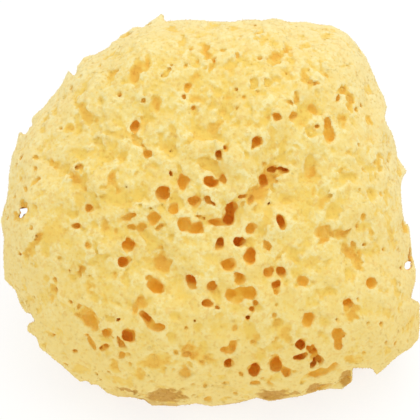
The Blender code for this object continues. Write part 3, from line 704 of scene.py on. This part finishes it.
def makeSpongeMesh(volume):
    band = 3 * volume.step
    grid = openvdb.FloatGrid(band)
    grid.copyFromArray(np.clip(volume.field, -band, band))
    points, triangles, quads = grid.convertToPolygons(isovalue=0)
    places = volume.low + points * volume.step
    faces = np.concatenate([triangles, quads[:, (0, 1, 2)], quads[:, (0, 2, 3)]])[:, ::-1]
    print("raw triangles", len(faces))
    raw = meshObject("rawSkin", places, faces)
    back = raw.vertex_groups.new(name="back")
    least, more = sponge["backWeight"]
    tenths = np.round(smoothStep(*sponge["backFrom"], places[:, 2]) * 10)
    for step in range(11):
        back.add(np.nonzero(tenths == step)[0].tolist(), least + more * step, "REPLACE")
    thin = raw.modifiers.new("thin", "DECIMATE")
    thin.ratio = min(1, sponge["faces"] / len(faces))
    thin.vertex_group = "back"
    thin.vertex_group_factor = sponge["backThinning"]
    ready = raw.evaluated_get(bpy.context.evaluated_depsgraph_get())
    mesh = bpy.data.meshes.new_from_object(ready)
    bpy.data.objects.remove(raw)

    main = mainPart(len(mesh.vertices), readRows(mesh.edges, "vertices", 2, np.int32))
    places, faces = readRows(mesh.vertices, "co", 3), trianglesOf(mesh)
    faces = faces[main[faces].all(1)]
    number = np.cumsum(main) - 1
    bpy.data.meshes.remove(mesh)
    return places[main], number[faces]


def flatNormals(places, faces):
    a, b, c = (places[corners] for corners in faces.T)
    return np.cross(b - a, c - a)


def normalsOf(places, faces):
    flat = flatNormals(places, faces)
    total = np.zeros_like(places)
    for corners in faces.T:
        np.add.at(total, corners, flat)
    return total / (np.linalg.norm(total, axis=1, keepdims=True) + 1e-12)


# what the points carry for the colour, most of it for painted shade in pores, pits, hollows, creases and
# undersides, and painted highlight on crests
layerNames = ("deep", "sunk", "gold", "brown", "rim", "hollow", "crease")


def storeLayers(mesh, values):
    for name in layerNames:
        layer = mesh.attributes.new(name, "FLOAT", "POINT")
        layer.data.foreach_set("value", np.asarray(values[name], np.float32))


def makeSponge():
    volume = makeVolume()
    places, faces = makeSpongeMesh(volume)
    # how enclosed each point is, for the painted shade of hollows and creases
    solid = (volume.field < 0).astype(np.float32)
    hollow, crease = (volume.sample(volume.blurred(solid, spread), places) for spread in sponge["blurs"])
    deep = np.maximum(-volume.sample(volume.skin, places), 0)
    far = np.linalg.norm(places, axis=1)
    # how far towards the outline, for the painted light there
    rim = np.arccos(np.clip(places[:, 2] / far, -1, 1)) / (math.pi / 2)
    draw = np.random.default_rng(relief["seed"] + 1)
    grain = (deep < sponge["skinDepth"]) * draw.normal(0, sponge["grain"], len(places))
    places += normalsOf(places, faces) * grain[:, None]
    world = toFrame(places)
    world[:, 2] = np.maximum(world[:, 2], 0)
    obj = meshObject("seaSponge", world, faces)
    values = {
        "deep": deep, "rim": rim, "hollow": hollow,
        "sunk": -volume.sample(volume.envelope, places) - deep,
        "gold": volume.sample(volume.gold, places),
        "brown": volume.sample(volume.brown, places),
        # raised points painted paler and sunk ones more golden: painted highlight and shade
        "crease": crease - sponge["grainShade"] * grain,
    }
    storeLayers(obj.data, values)
    print("sponge triangles", len(faces))
    return obj


tufts = {
    "seed": 21,
    "count": 20000,
    "length": (0.3, 0.9), "shortest": 0.4,  # the shortest is this much of its length
    "width": (0.15, 0.35),
    "lean": 0.55,  # how far they stray from straight out
    "root": 0.2,  # how deep they start in the skin
    "skinDepth": 0.5,  # none stands deeper in a pore
    "lowest": 2, "clear": 0.2,  # the lowest foot, and how far above the cut the points stay
}


# short tufts of fibre standing on the skin, each a thin three-sided spike
def makeTufts(skin):
    mesh = skin.data
    places, faces = readRows(mesh.vertices, "co", 3) / mm, trianglesOf(mesh)
    normals = readRows(mesh.vertex_normals, "vector", 3)
    values = {name: readRows(mesh.attributes[name].data, "value", 1, np.float32)[:, 0]
              for name in layerNames}
    draw = np.random.default_rng(tufts["seed"])
    size = np.linalg.norm(flatNormals(places, faces), axis=1)
    size[values["deep"][faces].max(1) > tufts["skinDepth"]] = 0
    size[places[faces[:, 0], 2] < tufts["lowest"]] = 0
    count = tufts["count"]
    spot = draw.choice(len(faces), count, p=size / size.sum())
    shares = draw.dirichlet((1, 1, 1), count)
    pick = faces[spot]

    def spread(table):
        return np.einsum("nk,nk...->n...", shares, table[pick])

    foot, normal = spread(places), spread(normals)
    way = normal + draw.normal(0, tufts["lean"], (count, 3))
    way /= np.linalg.norm(way, axis=1, keepdims=True)
    side = np.cross(way, draw.normal(0, 1, (count, 3)))
    side /= np.linalg.norm(side, axis=1, keepdims=True)
    other = np.cross(way, side)
    length = draw.uniform(*tufts["length"], (count, 1)) * draw.uniform(tufts["shortest"], 1, (count, 1))
    width = draw.uniform(*tufts["width"], (count, 1))
    foot -= normal * tufts["root"]
    points = [foot + width / 2 * (math.cos(turn) * side + math.sin(turn) * other)
              for turn in (0, 2 * math.pi / 3, 4 * math.pi / 3)]
    points.append(foot + way * (length + tufts["root"]))
    points = np.stack(points, 1).reshape(-1, 3) * mm
    points[:, 2] = np.maximum(points[:, 2], tufts["clear"] * mm)
    sides = np.array(((0, 1, 3), (1, 2, 3), (2, 0, 3), (2, 1, 0)))
    made = (np.arange(count)[:, None, None] * 4 + sides).reshape(-1, 3)
    obj = meshObject("spongeTufts", points, made)
    values = {name: np.repeat(spread(values[name]), 4) for name in layerNames}
    values["deep"][:] = 0
    storeLayers(obj.data, values)
    return obj


spongeFinish = {
    "skin": (0.91, 0.725, 0.25),
    # coats of colour, each over the one before: by what, between which values, how much, colour
    "coats": (
        ("crease", (0.49, 0.40), (0, 1), (0.94, 0.82, 0.38)),  # painted highlight: paler on the crests
        ("crust", (0.42, 0.58), (0.55, 0), (0.90, 0.65, 0.17)),  # where the velvety crust is torn
        ("grain", (0.42, 0.68), (0, 0.2), (0.90, 0.65, 0.17)),
        # painted shade: more golden in hollows and creases
        ("hollow", (0.50, 0.64), (0, 1), (0.90, 0.64, 0.13)),
        ("crease", (0.49, 0.61), (0, 1), (0.90, 0.64, 0.13)),
        ("rim", (0.5, 1.0), (0, 0.62), (0.93, 0.81, 0.45)),  # painted light: paler towards the outline, where the thin fringe lets light through, and behind it
        ("height", (0.015, 0.09), (0.65, 0), (0.89, 0.66, 0.18)),  # painted shade: more golden lower down, towards the floor
        # painted shadow: brown just above the floor, where the sponge sits on it
        ("contactShadow", (0.001, 0.008), (0.7, 0), (0.68, 0.40, 0.12)),
        ("sunk", (0.2, 1.5), (0, 1), (0.90, 0.64, 0.13)),  # painted shade: more golden the lower the skin lies, as in the worn hollows
        ("sunk", (1.6, 3.2), (0, 1), (0.87, 0.51, 0.08)),
        ("gold", (0.07, 0.45), (0, 1), (0.90, 0.62, 0.13)),  # painted shade: golden in the pits
        ("gold", (0.4, 0.75), (0, 1), (0.87, 0.53, 0.085)),
        ("gold", (0.75, 0.95), (0, 1), (0.85, 0.47, 0.065)),
        ("brown", (0.15, 0.75), (0, 1), (0.63, 0.345, 0.06)),  # painted shade: brown on the shaded undersides of the ledges at the cut's edge
    ),
    "speck": (0.91, 0.76, 0.58), "speckFrom": (0.43, 0.33), "speckShare": 0.48,
    # in the pores, painted shade that darkens to orange and red the deeper it is: how far below the skin,
    # colour
    "pore": (
        (0.0, (0.91, 0.62, 0.14)), (1.2, (0.90, 0.57, 0.09)), (2.6, (0.88, 0.52, 0.06)),
        (4.5, (0.86, 0.45, 0.03)), (9.0, (0.82, 0.33, 0.02)),
    ),
    "poreEdge": (0.1, 0.9),  # the skin's colour gives way to the pore's between these
    # per metre, detail, roughness
    "noises": {"crust": (130, 8, 0.72), "grain": (900, 3, 0.6), "specks": (520, 2, 0.5)},
    # how ragged the colours' edges are
    "stray": {"deep": 2.5, "sunk": 2.0, "gold": 0.5, "brown": 0.8, "crease": 0.2, "hollow": 0.2},
    # how ragged the painted shadow's edge is
    "contactShadowStray": 0.006,
    "crustFrom": (0.42, 0.58), "crustBump": 0.00005, "grainBump": 0.00025,
    "roughness": 0.95,
}


# sets a node's inputs to numbers, colours or the outputs of other nodes
def plug(node, inputs):
    for name, value in inputs.items():
        if isinstance(value, bpy.types.NodeSocket):
            node.id_data.links.new(value, node.inputs[name])
        else:
            node.inputs[name].default_value = value


def addNode(tree, kind, inputs=None, **settings):
    node = tree.nodes.new("ShaderNode" + kind)
    for name, value in settings.items():
        setattr(node, name, value)
    plug(node, inputs or {})
    return node


def mapRange(tree, value, low, high, toLow=0.0, toHigh=1.0):
    inputs = dict(enumerate((value, low, high, toLow, toHigh)))
    return addNode(tree, "MapRange", inputs, interpolation_type="SMOOTHSTEP").outputs[0]


def mixColour(tree, factor, first, second, blend="MIX"):
    inputs = {0: factor, 6: first, 7: second}
    return addNode(tree, "Mix", inputs, data_type="RGBA", blend_type=blend).outputs[2]


def colourRamp(tree, value, stops):
    span = stops[-1][0]
    ramp = addNode(tree, "ValToRGB", {"Fac": mapRange(tree, value, 0, span)})
    elements = ramp.color_ramp.elements
    while len(elements) < len(stops):
        elements.new(0.5)
    for element, (place, colour) in zip(elements, stops):
        element.position, element.color = place / span, (*colour, 1)
    return ramp.outputs["Color"]


# a value pushed up and down by a noise
def strayed(tree, value, noise, amount):
    push = addNode(tree, "MapRange", {0: noise, 3: -amount / 2, 4: amount / 2}).outputs[0]
    return addNode(tree, "Math", {0: value, 1: push}, operation="ADD").outputs[0]


def newMaterial(name):
    material = bpy.data.materials.new(name)
    material.use_nodes = True
    return material, material.node_tree, material.node_tree.nodes["Principled BSDF"]


def spongeMaterial():
    look = spongeFinish
    material, tree, shader = newMaterial("creamSponge")
    where = addNode(tree, "TexCoord").outputs["Object"]
    layers = {}
    for name, (scale, detail, roughness) in look["noises"].items():
        inputs = {"Vector": where, "Scale": scale, "Detail": detail, "Roughness": roughness}
        layers[name] = addNode(tree, "TexNoise", inputs).outputs["Fac"]
    crust, grain = layers["crust"], layers["grain"]
    for name in layerNames:
        layers[name] = addNode(tree, "Attribute", attribute_name=name).outputs["Fac"]
    for name, amount in look["stray"].items():
        layers[name] = strayed(tree, layers[name], grain, amount)
    layers["height"] = addNode(tree, "SeparateXYZ", {0: where}).outputs["Z"]
    # painted shadow just above the floor, with a ragged edge
    layers["contactShadow"] = strayed(tree, layers["height"], crust, look["contactShadowStray"])

    skin = (*look["skin"], 1)
    for name, limits, span, coat in look["coats"]:
        skin = mixColour(tree, mapRange(tree, layers[name], *limits, *span), skin, (*coat, 1))
    speckled = mapRange(tree, layers["specks"], *look["speckFrom"], 0, look["speckShare"])
    skin = mixColour(tree, speckled, skin, (*look["speck"], 1), "MULTIPLY")
    # painted shade in the pores, darker the deeper
    inPore = mapRange(tree, layers["deep"], *look["poreEdge"])
    colour = mixColour(tree, inPore, skin, colourRamp(tree, layers["deep"], look["pore"]))

    raised = mapRange(tree, crust, *look["crustFrom"])
    bump = addNode(tree, "Bump", {"Distance": look["crustBump"], "Height": raised}).outputs[0]
    inputs = {"Distance": look["grainBump"], "Height": grain, "Normal": bump}
    bump = addNode(tree, "Bump", inputs).outputs[0]
    plug(shader, {"Base Color": colour, "Normal": bump, "Roughness": look["roughness"]})
    return material


stage = {
    "floorSize": 6.0,
    "floor": {
        "Base Color": (0.22, 0.22, 0.22, 1), "Roughness": 0.9,
        "Emission Color": (1, 1, 1, 1), "Emission Strength": 0.78,
    },
    "sky": {"Color": (1, 1, 1, 1), "Strength": 0.85},
    "lens": 179.0, "aim": (0, 0.36, 0), "clipStart": 0.01,
    "keyPower": 4.2, "keySize": 1.2, "keyPlace": (0.2, 0.1, 1.1),
    "bounces": 12,  # for the light in the pores
}


# an object of the stage that looks in a direction
def setUp(name, data, place, way):
    obj = addObject(name, data)
    obj.location, obj.rotation_euler = place, way.to_track_quat("-Z", "Y").to_euler()
    return obj


def makeStage():
    half = stage["floorSize"] / 2
    corners = [(-half, -half, 0), (half, -half, 0), (half, half, 0), (-half, half, 0)]
    floor = meshObject("floor", corners, [(0, 1, 2, 3)])
    paint, _, shader = newMaterial("paleFloor")
    plug(shader, stage["floor"])
    floor.data.materials.append(paint)

    scene = bpy.context.scene
    scene.world = bpy.data.worlds.new("studio")
    scene.world.use_nodes = True
    plug(scene.world.node_tree.nodes["Background"], stage["sky"])

    target = Vector(toFrame(np.array([stage["aim"]]))[0])
    out = fromFace @ Vector((0, 0, 1))
    key = bpy.data.lights.new("softKey", "AREA")
    key.energy, key.size = stage["keyPower"], stage["keySize"]
    place = Vector(stage["keyPlace"])
    setUp("softKey", key, place, target - place)

    view = bpy.data.cameras.new("camera")
    view.lens, view.clip_start = stage["lens"], stage["clipStart"]
    scene.camera = setUp("camera", view, target + out * form["sight"] * mm, -out)
    scene.view_settings.view_transform = "Standard"
    scene.cycles.diffuse_bounces = stage["bounces"]


makeStage()
print("stage done")
body = makeSponge()
cream = spongeMaterial()
body.data.materials.append(cream)
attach(body, "root")
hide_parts("sponge")
print("sponge done")
fuzz = makeTufts(body)
fuzz.data.materials.append(cream)
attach(fuzz, "root")
print("tufts done")
